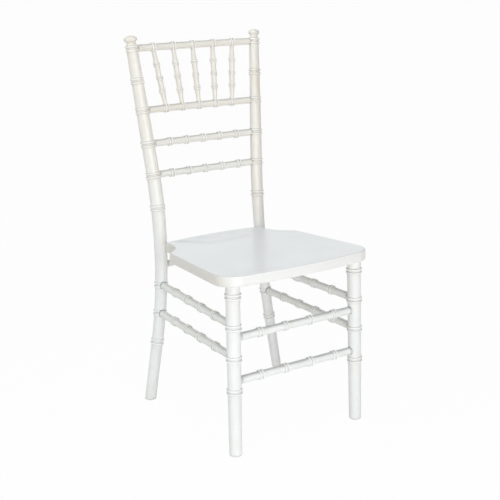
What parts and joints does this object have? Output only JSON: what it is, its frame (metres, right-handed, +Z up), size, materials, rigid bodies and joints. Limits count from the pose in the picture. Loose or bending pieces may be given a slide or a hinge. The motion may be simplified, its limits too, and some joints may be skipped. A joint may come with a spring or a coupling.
{
  "type": "chiavari chair",
  "caption": "Slim bamboo-turned side chair with bent back posts, a spindle and ladder back, ringed stretchers and a pitched wooden seat, in off-white lacquer.",
  "frame": {"origin": "on the floor under the centre of the chair's bounding box", "axes": "+Z up, -Y towards the front of the seat, +X to the right as the chair is seen from the front"},
  "size_m": [0.4256, 0.5058, 0.92],
  "materials": {
    "frame_lacquer": "glossy off-white lacquer over turned beech",
    "seat_lacquer": "glossy off-white lacquer, slightly cooler than the frame",
    "pin_steel": "zinc-plated steel",
    "glide_nylon": "matte off-white nylon"
  },
  "bodies": {
    "root": {"back_post_left": "frame_lacquer", "back_post_right": "frame_lacquer", "front_leg_left": "frame_lacquer", "front_leg_right": "frame_lacquer", "seat": "seat_lacquer", "rear_seat_rail": "frame_lacquer", "top_rail": "frame_lacquer", "spindle_rail": "frame_lacquer", "ladder_rail_upper": "frame_lacquer", "ladder_rail_lower": "frame_lacquer", "front_stretcher_upper": "frame_lacquer", "front_stretcher_lower": "frame_lacquer", "side_stretcher_right_upper": "frame_lacquer", "side_stretcher_left_upper": "frame_lacquer", "side_stretcher_right_lower": "frame_lacquer", "side_stretcher_left_lower": "frame_lacquer", "spindle_1": "frame_lacquer", "spindle_2": "frame_lacquer", "spindle_3": "frame_lacquer", "spindle_4": "frame_lacquer", "spindle_5": "frame_lacquer", "joint_pins": "pin_steel", "seat_screws": "pin_steel", "screw_plugs": "frame_lacquer", "foot_glides": "glide_nylon"}
  },
  "joints": []
}
